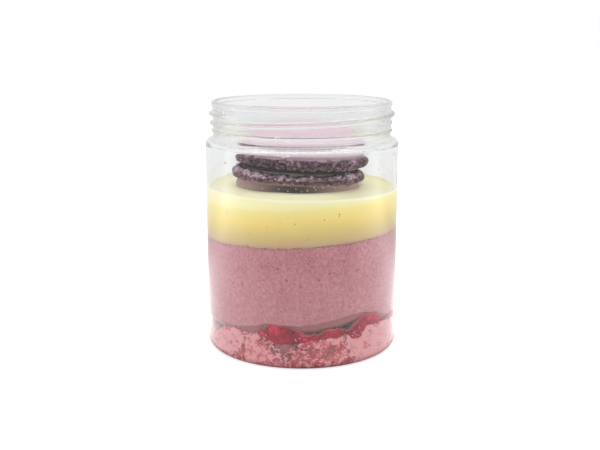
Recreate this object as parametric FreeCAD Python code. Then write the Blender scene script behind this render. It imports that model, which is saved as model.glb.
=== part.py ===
import FreeCAD, Part
import math
import os

# A layered dessert in a clear wide-mouth screw jar, in millimetres.
# The origin is the middle of the jar's standing face and +Z is up. The shown side faces -Y.
# Azimuths are in degrees from the shown side, and grow towards +X.

# jar
jar_height = 90.2
body_radius = 35.0
wall_thickness = 0.9
base_corner = 3.0
standing_ring_radius = 29.5
push_up_height = 1.8
base_thickness = 1.1
body_top = 74.2
neck_radius = 32.2
neck_wall = 1.1
neck_bottom = 78.2
lip_radius = 32.5
lip_bottom = 88.3
seal_ring_height = 79.7
seal_ring_radius = 32.8
seal_ring_half = 0.6

# the shoulder's two bends, outside and inside: how far each point is inside a radius, and above a height
shoulder_bow = (0.45, 1.35)
shoulder_turn = (1.55, 2.35)
neck_foot_bow = (0.42, 1.0)
inner_shoulder_drop = 0.9
inner_shoulder_bow = (0.75, 1.9)
inner_shoulder_turn = (1.0, 3.0)
inner_neck_bow = (0.25, 3.75)
inner_neck_rise = 4.6

# the lip's rounded top
lip_slope = 0.25
lip_round_outside = 0.6
lip_round_inside = 0.7
lip_crown_inset = 0.65

# two-start screw thread on the neck
thread_starts = 2
thread_lead = 6.6
thread_crest_radius = 33.6
thread_half_width = 0.8
thread_crest_half = 0.28
thread_root_depth = 0.4
thread_faded_rise = 0.05
thread_faded_width = 0.45
thread_first_height = 82.1
thread_first_azimuth = -100.0
thread_sweep = 235.0
thread_run_out = 25.0
thread_sections = 29

# heights of the layers
mousse_top_height = 43.1
mousse_top_tilt = 0.050
mousse_top_wave = 0.15
custard_height = 58.45
custard_tilt = -0.012
meniscus_rise = 0.7
meniscus_width = 0.8
bulge_rise = 1.1
bulge_width = 3.5
underside_height = 14.0
underside_slope = 1.6
underside_lift = 3.0
underside_lift_azimuth = 27.0
underside_lift_spread = 24.0
underside_rounding = 7.0
sponge_height = 11.6
sponge_broad_lumps = 0.5
sponge_small_lumps = 0.35
hidden_compote = 2.0
wall_compote = -1.2

# spoonfuls of compote at the wall: azimuth, spread, thickness
spoonfuls = (
    (-13.0, 9.0, 7.2),
    (17.0, 11.0, 3.2),
    (38.0, 8.0, 6.2),
    (52.0, 9.0, 5.0),
    (74.0, 9.0, 4.4),
    (112.0, 14.0, 3.6),
    (158.0, 12.0, 5.4),
    (-146.0, 15.0, 4.0),
    (-98.0, 10.0, 3.4),
)

# dips in the sponge's top edge at the wall: azimuth, spread, depth
sponge_dips = (
    (-12.0, 12.0, 2.6),
    (34.0, 7.0, 3.4),
    (76.0, 12.0, 1.6),
    (150.0, 14.0, 2.0),
    (-64.0, 9.0, 3.0),
    (-140.0, 16.0, 2.2),
)

# hollows between the broken pieces of sponge, against the wall: azimuth, height, radius
sponge_hollows = (
    (-9.5, 4.7, 4.4),
    (98.0, 4.2, 3.6),
    (-171.0, 5.0, 4.0),
    (-118.0, 4.4, 3.8),
)

# macaron
shell_radius = 22.6
shell_height = 15.6
shell_side_top = 9.6
foot_radius = 23.9
foot_height = 3.9
foot_wave = 0.12
foot_points = 92
foot_rings = (
    # how far inside foot_radius, height above the face, share of the wave
    (1.1, 0.0, 0.5),
    (0.2, 0.9, 1.0),
    (0.0, 2.1, 1.0),
    (0.6, 3.3, 0.8),
    (1.9, foot_height, 0.3),
)
crust_sunk = 0.6
side_low_inset = 0.5
side_top_inset = 0.7
brow_share = 0.78
brow_drop = 2.3
brow_bow_share = 0.905
brow_bow_rise = 1.95
lower_phase = 0.4
upper_phase = 2.1
lower_centre = (-1.3, 0.3)
lower_face_height = 65.9
lower_tilt_right = 3.0
lower_tilt_front = 2.4
upper_centre = (0.1, 0.2)
upper_face_height = 66.7
upper_tilt_right = 3.0
upper_tilt_front = 1.8
filling_radius = 20.6
filling_search = 4.0

grid_reach = 37.0
grid_steps = 38
clear_of = 100.0


def point(radius, height):
    return FreeCAD.Vector(radius, 0, height)


def at(azimuth, radius, height):
    """A point at an azimuth counted from the shown side."""
    turn = math.radians(azimuth)
    return FreeCAD.Vector(radius * math.sin(turn), -radius * math.cos(turn), height)


def line(start, end):
    return Part.LineSegment(start, end).toShape()


def arc(start, middle, end):
    return Part.Arc(start, middle, end).toShape()


def turned(edges):
    """The solid that a closed outline in the XZ plane makes when it turns about Z."""
    face = Part.Face(Part.Wire(edges))
    return face.revolve(FreeCAD.Vector(0, 0, 0), FreeCAD.Vector(0, 0, 1), 360)


def cap_middle(top, end):
    """The middle of an arc that leaves the axis level at top and reaches end, so it turns into a sphere."""
    drop = top.z - end.z
    bend = (end.x ** 2 + drop ** 2) / (2.0 * drop)
    half = end.x / 2.0
    return point(half, top.z - bend + math.sqrt(bend ** 2 - half ** 2))


def corner_middle(radius, height, bend, lean):
    """A point on an arc of radius bend about (radius, height), lean degrees above level."""
    turn = math.radians(lean)
    return point(radius + bend * math.cos(turn), height + bend * math.sin(turn))


def jar_outline_outside():
    """Edges of the outer skin, from the middle of the base up to the lip."""
    flat = body_radius - base_corner
    dome_top = point(0, push_up_height)
    dome_end = point(standing_ring_radius, 0)
    ring_low = seal_ring_height - seal_ring_half
    ring_high = seal_ring_height + seal_ring_half
    corner_start = point(flat, 0)
    corner_end = point(body_radius, base_corner)
    wall_end = point(body_radius, body_top)
    shoulder_mid = point(body_radius - shoulder_bow[0], body_top + shoulder_bow[1])
    shoulder_end = point(body_radius - shoulder_turn[0], body_top + shoulder_turn[1])
    neck_start = point(neck_radius, neck_bottom)
    neck_mid = point(neck_radius + neck_foot_bow[0], neck_bottom - neck_foot_bow[1])
    ring_start = point(neck_radius, ring_low)
    ring_end = point(neck_radius, ring_high)
    lip_start = point(neck_radius, lip_bottom)
    lip_corner = point(lip_radius, lip_bottom + lip_slope)
    return [
        arc(dome_top, cap_middle(dome_top, dome_end), dome_end),
        line(dome_end, corner_start),
        arc(corner_start, corner_middle(flat, base_corner, base_corner, -45), corner_end),
        line(corner_end, wall_end),
        arc(wall_end, shoulder_mid, shoulder_end),
        arc(shoulder_end, neck_mid, neck_start),
        line(neck_start, ring_start),
        arc(ring_start, point(seal_ring_radius, seal_ring_height), ring_end),
        line(ring_end, lip_start),
        line(lip_start, lip_corner),
        line(lip_corner, point(lip_radius, jar_height - lip_round_outside)),
    ]


def jar_outline_inside():
    """Edges of the inner skin, from the lip down to the middle of the floor."""
    inner = body_radius - wall_thickness
    neck_inner = neck_radius - neck_wall
    bend = base_corner - wall_thickness
    floor_edge = inner - bend
    shoulder_low = body_top - inner_shoulder_drop
    lip_outer = point(lip_radius, jar_height - lip_round_outside)
    lip_crown = point(lip_radius - lip_crown_inset, jar_height)
    lip_inner = point(neck_inner, jar_height - lip_round_inside)
    neck_start = point(neck_inner, shoulder_low + inner_neck_rise)
    neck_mid = point(neck_inner + inner_neck_bow[0], shoulder_low + inner_neck_bow[1])
    shoulder_end = point(neck_inner + inner_shoulder_turn[0], shoulder_low + inner_shoulder_turn[1])
    shoulder_mid = point(inner - inner_shoulder_bow[0], shoulder_low + inner_shoulder_bow[1])
    wall_start = point(inner, shoulder_low)
    wall_end = point(inner, base_thickness + bend)
    corner_end = point(floor_edge, base_thickness)
    dome_top = point(0, base_thickness + push_up_height)
    dome_end = point(standing_ring_radius, base_thickness)
    return [
        arc(lip_outer, lip_crown, lip_inner),
        line(lip_inner, neck_start),
        arc(neck_start, neck_mid, shoulder_end),
        arc(shoulder_end, shoulder_mid, wall_start),
        line(wall_start, wall_end),
        arc(wall_end, corner_middle(floor_edge, base_thickness + bend, bend, -45), corner_end),
        line(corner_end, dome_end),
        arc(dome_end, cap_middle(dome_top, dome_end), dome_top),
    ]


def thread_section(azimuth, height, fullness):
    """One radial slice of a thread's ridge, which shrinks into the neck at its ends."""
    root = neck_radius - thread_root_depth
    faded = neck_radius + thread_faded_rise
    crest = faded + (thread_crest_radius - faded) * fullness
    half = thread_half_width * (thread_faded_width + (1.0 - thread_faded_width) * fullness)
    corners = [
        at(azimuth, root, height - half),
        at(azimuth, crest, height - thread_crest_half),
        at(azimuth, crest, height + thread_crest_half),
        at(azimuth, root, height + half),
    ]
    return Part.makePolygon(corners + corners[:1])


def thread(start):
    """One start of the screw thread, rising anticlockwise seen from above."""
    first = thread_first_azimuth + 360.0 * start / thread_starts
    slices = []
    for i in range(thread_sections):
        swept = thread_sweep * i / (thread_sections - 1)
        from_end = min(swept, thread_sweep - swept) / thread_run_out
        fullness = math.sin(math.pi / 2 * min(1.0, from_end))
        height = thread_first_height + thread_lead * swept / 360.0
        slices.append(thread_section(first + swept, height, fullness))
    return Part.makeLoft(slices, True, False)


def make_jar():
    outside = jar_outline_outside()
    inside = jar_outline_inside()
    shut = line(point(0, base_thickness + push_up_height), point(0, push_up_height))
    jar = turned(outside + inside + [shut])
    for start in range(thread_starts):
        jar = jar.fuse(thread(start))
    return jar


def make_cavity():
    """The room inside the straight part of the jar, down to its floor."""
    inside = jar_outline_inside()[4:]
    inner = body_radius - wall_thickness
    top = body_top - inner_shoulder_drop
    lid = line(point(0, top), point(inner, top))
    axis = line(point(0, base_thickness + push_up_height), point(0, top))
    return turned([lid] + inside + [axis])


def azimuth_of(x, y):
    return math.degrees(math.atan2(x, -y))


def turn_between(a, b):
    """The smaller angle between two azimuths."""
    return abs((a - b + 180.0) % 360.0 - 180.0)


def hump(offset, spread):
    return math.exp(-((offset / spread) ** 2))


def nearness(x, y, power):
    """1 at the jar's inner wall, falling towards the middle."""
    inner = body_radius - wall_thickness
    return min(1.08, math.hypot(x, y) / inner) ** power


def sponge_top(x, y):
    """The uneven top of the crumbled sponge, with dips at the wall."""
    azimuth = azimuth_of(x, y)
    broad = sponge_broad_lumps * math.sin(0.42 * x + 1.3) * math.cos(0.37 * y)
    small = sponge_small_lumps * math.sin(0.71 * y + 0.5 * x)
    dips = sum(depth * hump(turn_between(azimuth, a), spread) for a, spread, depth in sponge_dips)
    return sponge_height + broad + small - dips * nearness(x, y, 10)


def compote_top(x, y):
    """The compote lies over the whole sponge and reaches the wall in spoonfuls."""
    azimuth = azimuth_of(x, y)
    edge = wall_compote + sum(
        depth * hump(turn_between(azimuth, a), spread) for a, spread, depth in spoonfuls
    )
    share = nearness(x, y, 9)
    return sponge_top(x, y) + hidden_compote * (1.0 - min(1.0, share)) + edge * share


def mousse_underside(x, y):
    """The mousse rounds up towards the wall and leaves a gap over the sponge there."""
    azimuth = azimuth_of(x, y)
    lift = underside_lift * hump(turn_between(azimuth, underside_lift_azimuth), underside_lift_spread)
    at_wall = underside_height + underside_slope * math.sin(math.radians(azimuth)) + lift
    return at_wall - underside_rounding * (1.0 - nearness(x, y, 9))


def mousse_top(x, y):
    wave = mousse_top_wave * math.sin(0.12 * y + 0.09 * x)
    return mousse_top_height + mousse_top_tilt * x + wave


def custard_top(x, y):
    """Level but for a bulge pushed up round the macaron and a rise at the wall."""
    inner = body_radius - wall_thickness
    from_macaron = math.hypot(x - lower_centre[0], y - lower_centre[1]) - shell_radius
    shown_side = 0.5 + 0.5 * math.cos(math.radians(azimuth_of(x, y)))
    bulge = bulge_rise * hump(from_macaron, bulge_width) * shown_side
    rim = meniscus_rise * math.exp(min(0.0, math.hypot(x, y) - inner) / meniscus_width)
    return custard_height + custard_tilt * x + bulge + rim


def under(height):
    """Everything below a height that is a function of x and y."""
    step = 2.0 * grid_reach / (grid_steps - 1)
    places = [-grid_reach + step * i for i in range(grid_steps)]
    surface = Part.BSplineSurface()
    surface.interpolate([[FreeCAD.Vector(x, y, height(x, y)) for y in places] for x in places])
    return surface.toShape().extrude(FreeCAD.Vector(0, 0, -clear_of))


def make_hollows():
    return [
        Part.makeSphere(radius, at(azimuth, body_radius, height))
        for azimuth, height, radius in sponge_hollows
    ]


def foot_outline(radius, height, wave, phase):
    """A closed wavy ring, as the ruffled edge of a baked macaron shell."""
    points = []
    for i in range(foot_points):
        turn = 2.0 * math.pi * i / foot_points
        ripple = math.sin(9 * turn + phase) + math.sin(14 * turn + 2 * phase)
        reach = radius + wave * (ripple + math.sin(23 * turn - phase))
        points.append(FreeCAD.Vector(reach * math.cos(turn), reach * math.sin(turn), height))
    curve = Part.BSplineCurve()
    curve.interpolate(points, PeriodicFlag=True)
    return Part.Wire(curve.toShape())


def make_shell(phase):
    """A macaron shell on its flat face: a ruffled foot below a smooth domed crust."""
    outlines = [
        foot_outline(foot_radius - inset, height, foot_wave * share, phase + 0.35 * height)
        for inset, height, share in foot_rings
    ]
    foot = Part.makeLoft(outlines, True, False)
    low = foot_height - crust_sunk
    side_low = point(shell_radius - side_low_inset, low)
    side_mid = point(shell_radius, (low + shell_side_top) / 2)
    side_top = point(shell_radius - side_top_inset, shell_side_top)
    brow_bow = point(shell_radius * brow_bow_share, shell_side_top + brow_bow_rise)
    brow = point(shell_radius * brow_share, shell_height - brow_drop)
    top = point(0, shell_height)
    crust = turned([
        line(point(0, low), side_low),
        arc(side_low, side_mid, side_top),
        arc(side_top, brow_bow, brow),
        arc(brow, cap_middle(top, brow), top),
        line(top, point(0, low)),
    ])
    return foot.fuse(crust)


def placed(shape, centre, height, tilt_right, tilt_front, flipped):
    """Sets a shell with its flat face's middle at a centre and height, leaning as it lies."""
    moved = shape.copy()
    origin = FreeCAD.Vector(0, 0, 0)
    if flipped:
        moved.rotate(origin, FreeCAD.Vector(1, 0, 0), 180)
    moved.rotate(origin, FreeCAD.Vector(0, 1, 0), tilt_right)
    moved.rotate(origin, FreeCAD.Vector(1, 0, 0), -tilt_front)
    moved.translate(FreeCAD.Vector(centre[0], centre[1], height))
    return moved


def make_filling(lower, upper):
    """A thin layer of filling, set back from the edge and pressed between the two faces."""
    low = lower_face_height - filling_search
    tall = upper_face_height + filling_search - low
    middle = FreeCAD.Vector(
        (lower_centre[0] + upper_centre[0]) / 2, (lower_centre[1] + upper_centre[1]) / 2, low
    )
    between = Part.makeCylinder(filling_radius, tall, middle).cut(lower).cut(upper)
    level = (lower_face_height + upper_face_height) / 2
    return min(between.Solids, key=lambda solid: abs(solid.CenterOfMass.z - level))


def largest(shape):
    return max(shape.Solids, key=lambda solid: solid.Volume)


def save(name, shape):
    solid = shape.removeSplitter()
    print(name, "valid", solid.isValid(), "solids", len(solid.Solids), "volume", round(solid.Volume))
    solid.exportStep("parts/%s.step" % name)


def main():
    os.makedirs("parts", exist_ok=True)
    cavity = make_cavity()
    under_sponge = under(sponge_top)
    under_compote = under(compote_top)
    under_mousse = under(mousse_top)
    lower = make_shell(lower_phase)
    lower = placed(lower, lower_centre, lower_face_height, lower_tilt_right, lower_tilt_front, True)
    upper = make_shell(upper_phase)
    upper = placed(upper, upper_centre, upper_face_height, upper_tilt_right, upper_tilt_front, False)

    sponge = cavity.common(under_sponge)
    for hollow in make_hollows():
        sponge = sponge.cut(hollow)
    compote = cavity.common(under_compote).cut(under_sponge)
    mousse = cavity.common(under_mousse).cut(under_compote).cut(under_sponge).cut(under(mousse_underside))
    custard = cavity.common(under(custard_top)).cut(under_mousse).cut(lower)

    save("jar", make_jar())
    save("sponge_base", largest(sponge))
    save("berry_compote", compote)
    save("berry_mousse", largest(mousse))
    save("custard", largest(custard))
    save("macaron_bottom_shell", lower)
    save("macaron_filling", make_filling(lower, upper))
    save("macaron_top_shell", upper)


main()
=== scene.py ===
import math

import bmesh
import bpy
import numpy as np
from mathutils import Euler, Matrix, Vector


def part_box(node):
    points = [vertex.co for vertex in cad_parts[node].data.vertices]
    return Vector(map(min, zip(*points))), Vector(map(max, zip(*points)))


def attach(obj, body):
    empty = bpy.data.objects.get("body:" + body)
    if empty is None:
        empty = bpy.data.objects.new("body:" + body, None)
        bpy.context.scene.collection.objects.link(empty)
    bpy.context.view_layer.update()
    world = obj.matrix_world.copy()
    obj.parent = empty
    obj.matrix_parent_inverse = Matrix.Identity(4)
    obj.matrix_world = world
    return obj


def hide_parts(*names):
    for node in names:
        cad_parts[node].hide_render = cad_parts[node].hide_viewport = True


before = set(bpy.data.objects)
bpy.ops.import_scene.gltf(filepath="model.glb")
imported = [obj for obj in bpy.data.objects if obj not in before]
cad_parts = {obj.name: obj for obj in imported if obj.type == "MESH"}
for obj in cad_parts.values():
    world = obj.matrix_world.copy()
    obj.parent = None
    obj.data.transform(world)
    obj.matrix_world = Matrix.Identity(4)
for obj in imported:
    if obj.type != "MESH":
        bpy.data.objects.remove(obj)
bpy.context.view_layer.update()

mm = 0.001
print("frame loaded:", sorted(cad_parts))

# All sizes below are in millimetres. Azimuths are in degrees from the shown side (-Y) towards +X.


def hexLinear(code):
    values = [int(code[i:i + 2], 16) / 255 for i in (1, 3, 5)]
    return [v / 12.92 if v <= 0.04045 else ((v + 0.055) / 1.055) ** 2.4 for v in values]


def colour(code):
    return (*hexLinear(code), 1.0)


def addNode(tree, kind, settings=None, links=None):
    # settings fill the node's own properties, its inputs or its colour stops. Links feed its inputs from
    # an output, or from a node's first one.
    node = tree.nodes.new("ShaderNode" + kind)
    for key, value in (settings or {}).items():
        if key == "stops":
            elements = node.color_ramp.elements
            for place, code in value[2:]:
                elements.new(place)
            for element, (place, code) in zip(elements, value):
                element.position, element.color = place, colour(code)
        elif isinstance(key, str) and hasattr(node, key):
            setattr(node, key, value)
        else:
            node.inputs[key].default_value = value
    for key, source in (links or {}).items():
        tree.links.new(getattr(source, "outputs", [source])[0], node.inputs[key])
    return node


def newMaterial(name):
    # a material with no nodes but one, which gives the place on the object
    material = bpy.data.materials.new(name)
    material.use_nodes = True
    tree = material.node_tree
    tree.nodes.clear()
    return material, tree, addNode(tree, "TexCoord").outputs["Object"]


def surfaced(material, skin):
    addNode(material.node_tree, "OutputMaterial", links={"Surface": skin})
    return material


def grained(material, body, grain, strength, depth, settings):
    # gives a material its colour, its finish and a relief, depth mm deep, that follows its grain
    tree = material.node_tree
    bump = addNode(tree, "Bump", {"Strength": strength, "Distance": depth * mm}, {"Height": grain})
    skin = addNode(tree, "BsdfPrincipled", settings, {"Base Color": body, "Normal": bump})
    return surfaced(material, skin)


def mottled(name, patchSize, stops, settings):
    # one plain finish whose colour shifts softly from patch to patch
    material, tree, where = newMaterial(name)
    patch = addNode(tree, "TexNoise", {"Scale": 1 / (patchSize * mm)}, {"Vector": where})
    tint = addNode(tree, "ValToRGB", {"stops": stops}, {"Fac": patch})
    return surfaced(material, addNode(tree, "BsdfPrincipled", settings, {"Base Color": tint}))


def smoothStep(low, high, x):
    t = np.clip((x - low) / (high - low), 0, 1)
    return t * t * (3 - 2 * t)


def hashed(cells, seed):
    # a fixed scattered value from 0 to 1 for each lattice cell
    x, y, z = (cells[..., i].astype(np.int64).astype(np.uint64) for i in range(3))
    with np.errstate(over="ignore"):
        h = x * np.uint64(73856093) ^ y * np.uint64(19349663) ^ z * np.uint64(83492791)
        h = (h ^ np.uint64(seed * 7919 + 17)) * np.uint64(0x9E3779B97F4A7C15)
        h = (h ^ (h >> np.uint64(29))) * np.uint64(0xBF58476D1CE4E5B9)
        h = h ^ (h >> np.uint64(32))
    return (h % np.uint64(1000003)).astype(float) / 1000003


def softNoise(points, size, seed):
    # smooth noise from -1 to 1 with lumps about size across
    scaled = points / size
    base = np.floor(scaled)
    part = scaled - base
    part = part * part * (3 - 2 * part)
    total = 0
    for corner in np.ndindex(2, 2, 2):
        nearness = np.abs(1 - np.array(corner) - part)
        total = total + hashed(base + corner, seed) * nearness.prod(-1)
    return total * 2 - 1


def ripples(points, *waves):
    # soft noise summed from waves of (height, length, seed)
    return sum(height * softNoise(points, length, seed) for height, length, seed in waves)


def cellNoise(points, size, seed):
    # the distance, in cells, to the nearest scattered centre, and that centre's own value
    scaled = points / size
    base = np.floor(scaled)
    nearest, pick = np.full(points.shape[:-1], 9.0), np.zeros(points.shape[:-1])
    for step in np.ndindex(3, 3, 3):
        cell = base + step - 1
        centre = cell + np.stack([hashed(cell, seed + i) for i in range(3)], -1)
        away = np.linalg.norm(scaled - centre, axis=-1)
        pick = np.where(away < nearest, hashed(cell, seed + 7), pick)
        nearest = np.minimum(away, nearest)
    return nearest, pick


def around(azimuth, radius, height):
    turn = np.radians(azimuth)
    return np.stack(np.broadcast_arrays(radius * np.sin(turn), -radius * np.cos(turn), height), -1)


def turnedFrom(azimuth, start):
    return (azimuth - start + 180) % 360 - 180


def allRound(columns):
    return np.linspace(-180, 180, columns, endpoint=False)[None]


def closedCurve(points, softness=2.5):
    # a smooth curve of value by azimuth, through (azimuth, value) points all the way round
    places = np.arange(-180, 180)
    values = np.interp(places, [p[0] for p in points], [p[1] for p in points], period=360)
    reach = np.arange(-12, 13)
    weights = np.exp(-((reach / softness) ** 2))
    wrapped = np.concatenate([values[-12:], values, values[:12]])
    values = np.convolve(wrapped, weights / weights.sum(), "valid")
    return lambda azimuth: np.interp(azimuth, places, values, period=360)


def outline(corners):
    # points along (radius, height, bend, step) corners. bend rounds the corner, step spaces the run after it
    path = []
    for i, (x, z, bend, step) in enumerate(corners):
        here = np.array([x, z], float)
        if bend == 0:
            turned = [here]
        else:
            back = np.array(corners[i - 1][:2]) - here
            ahead = np.array(corners[i + 1][:2]) - here
            back, ahead = back / np.linalg.norm(back), ahead / np.linalg.norm(ahead)
            half = math.acos(np.clip(back @ ahead, -1, 1)) / 2
            middle = here + (back + ahead) / np.linalg.norm(back + ahead) * bend / math.sin(half)
            start = here + back * bend / math.tan(half) - middle
            end = here + ahead * bend / math.tan(half) - middle
            first = math.atan2(start[1], start[0])
            sweep = (math.atan2(end[1], end[0]) - first + math.pi) % (2 * math.pi) - math.pi
            turns = first + sweep * np.linspace(0, 1, max(4, int(bend * abs(sweep) / 0.15)))
            turned = middle + bend * np.stack([np.cos(turns), np.sin(turns)], 1)
        if path:
            run = np.linalg.norm(turned[0] - path[-1])
            count = max(1, round(run / corners[i - 1][3]))
            gap = np.linspace(0, 1, count + 1)[1:-1, None]
            path.extend(path[-1] + (turned[0] - path[-1]) * gap)
        path.extend(turned)
    return np.array(path)


def newObject(name, data):
    added = bpy.data.objects.new(name, data)
    bpy.context.scene.collection.objects.link(added)
    return added


def newPiece(name, points, faces, material):
    mesh = bpy.data.meshes.new(name)
    mesh.from_pydata((points * mm).tolist(), [], faces)
    mesh.polygons.foreach_set("use_smooth", np.ones(len(mesh.polygons), bool))
    mesh.materials.append(material)
    return newObject(name, mesh)


def settle(piece, node):
    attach(piece, "root")
    if node:
        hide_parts(node)


def ringPiece(name, node, material, bands, marks=None):
    # a closed piece from bands of rings, which run from a bottom middle out, up and in to a top middle.
    # marks are values for the points of each band, which the material reads.
    rings = np.vstack(bands)
    count, steps = rings.shape[:2]
    index = np.arange(count * steps).reshape(count, steps)
    after = np.roll(index, -1, axis=1)
    quads = np.stack([index[:-1], after[:-1], after[1:], index[1:]], -1).reshape(-1, 4)
    low, high = count * steps, count * steps + 1
    bottom = np.stack([np.full(steps, low), after[0], index[0]], -1)
    top = np.stack([np.full(steps, high), index[-1], after[-1]], -1)
    points = np.vstack([rings.reshape(-1, 3), rings[0].mean(0), rings[-1].mean(0)])
    piece = newPiece(name, points, quads.tolist() + bottom.tolist() + top.tolist(), material)
    for key, shares in (marks or {}).items():
        values = np.vstack([np.broadcast_to(share, band.shape[:2]) for share, band in zip(shares, bands)])
        layer = piece.data.attributes.new(key, "FLOAT", "POINT")
        ends = [values[0].mean(), values[-1].mean()]
        layer.data.foreach_set("value", np.concatenate([values.ravel(), ends]).astype(np.float32))
    settle(piece, node)


def scatter(name, material, spots, seed, lumpy=0.25):
    # many small rounded bits as one piece. spots are (place, radius, share of the radius across the wall)
    base = bmesh.new()
    bmesh.ops.create_icosphere(base, subdivisions=1, radius=1)
    ball = np.array([vertex.co for vertex in base.verts])
    faces = np.array([[vertex.index for vertex in face.verts] for face in base.faces])
    base.free()
    rng = np.random.default_rng(seed)
    points, sides = [], []
    for i, (place, radius, flat) in enumerate(spots):
        place = np.array(place, float)
        shape = ball * (1 + lumpy * rng.uniform(-1, 1, (len(ball), 1))) * radius * rng.uniform(0.75, 1.25, 3)
        shape = shape @ np.array(Euler(rng.uniform(0, 6.28, 3)).to_matrix()).T
        outward = place * (1, 1, 0)
        outward = outward / max(np.linalg.norm(outward), 1e-6)
        shape = shape - np.outer(shape @ outward, outward) * (1 - flat)
        points.append(place + shape)
        sides.append(faces + i * len(ball))
    settle(newPiece(name, np.vstack(points), np.vstack(sides).tolist(), material), None)


jarLow, jarHigh = (np.array(corner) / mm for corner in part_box("jar"))
jarHeight = jarHigh[2]
bodyRadius = (jarHigh[0] - jarLow[0]) / 2

# camera
view = {"aim": (-0.68, 0.0, 44.0), "distance": 341.9, "lookingDown": 11.95, "lens": 55.25}


def makeCamera():
    data = bpy.data.cameras.new("camera")
    data.lens = view["lens"]
    data.sensor_width = 36
    data.clip_start, data.clip_end = 0.01, 20
    camera = newObject("camera", data)
    down = math.radians(view["lookingDown"])
    away = Vector((0, -math.cos(down), math.sin(down))) * view["distance"]
    camera.location = (Vector(view["aim"]) + away) * mm
    camera.rotation_euler = Euler((math.pi / 2 - down, 0, 0))
    bpy.context.scene.camera = camera


# studio
studio = {
    "lamps": (
        # name, azimuth, height, distance, width, tall, brightness of its face, whether the jar mirrors it
        ("leftBox", -72, 170, 420, 500, 480, 1.5, False),
        ("rightBox", 72, 170, 420, 500, 480, 1.42, False),
        ("topStrip", 0, 560, 70, 900, 150, 3.9, True),
        ("topBox", 180, 620, 160, 520, 420, 1.0, False),
        ("frontFill", 0, 380, 620, 500, 300, 1.5, False),
    ),
    "aimHeight": 45,
    "roomLight": 0.36,
    "behindGlass": 0.94,  # how bright the room looks through the jar and mirrored in it
    "viewerSide": 0.33,  # and on the side that is in front of the jar
    "viewerTurn": (-0.8, 0.1),  # the directions between which one turns into the other, by their Y
    "floorOnCamera": (60, 300, 0.45, 1.0),  # radii between which the paper clears to white, and its glow
    "floorInGlass": 0.9,
    "floorMirrored": (-190, 60, 0.33, 2.15),  # the mirrored floor, in front to behind: depths and brightness
    "mirroredFades": (20, 150, 1, 0.42),  # and the depths between which it fades, and the shares of it
    "contactShade": (33, 42, 0.35),  # the painted shadow under the jar, seen through glass: radii and brightness
    "floorReach": 900,
    "floorGap": 0.02,  # keeps the floor clear of the jar's standing ring
}


def makeLamps():
    for name, azimuth, height, distance, width, tall, brightness, mirrored in studio["lamps"]:
        data = bpy.data.lights.new(name, "AREA")
        data.shape = "RECTANGLE"
        data.size, data.size_y = width * mm, tall * mm
        data.energy = brightness * math.pi * data.size * data.size_y
        lamp = newObject(name, data)
        lamp.visible_glossy = lamp.visible_transmission = mirrored
        place = Vector(around(azimuth, distance, height)) * mm
        lamp.location = place
        aim = Vector((0, 0, studio["aimHeight"] * mm)) - place
        lamp.rotation_euler = aim.to_track_quat("-Z", "Y").to_euler()


def inJar(tree, path):
    # whether a ray looks through the jar or is mirrored by it
    return addNode(tree, "Math", {"operation": "MAXIMUM"},
                   {0: path.outputs["Is Glossy Ray"], 1: path.outputs["Is Transmission Ray"]})


def makeRoom():
    world = bpy.data.worlds.new("paleRoom")
    bpy.context.scene.world = world
    world.use_nodes = True
    tree = world.node_tree
    tree.nodes.clear()
    path = addNode(tree, "LightPath")
    split = addNode(tree, "SeparateXYZ", links={0: addNode(tree, "TexCoord").outputs["Generated"]})
    near, far = studio["viewerTurn"]
    depth = addNode(tree, "MapRange",
                    {"interpolation_type": "SMOOTHSTEP", "From Min": near, "From Max": far,
                     "To Min": studio["viewerSide"], "To Max": studio["behindGlass"]},
                    {"Value": split.outputs["Y"]})
    inGlass = addNode(tree, "MapRange", {"To Min": studio["roomLight"]},
                      {"Value": inJar(tree, path), "To Max": depth})
    strength = addNode(tree, "Math", {"operation": "MAXIMUM"},
                       {0: inGlass, 1: path.outputs["Is Camera Ray"]})
    light = addNode(tree, "Background", {"Color": (1, 1, 1, 1)}, {"Strength": strength})
    addNode(tree, "OutputWorld", links={"Surface": light})


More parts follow.
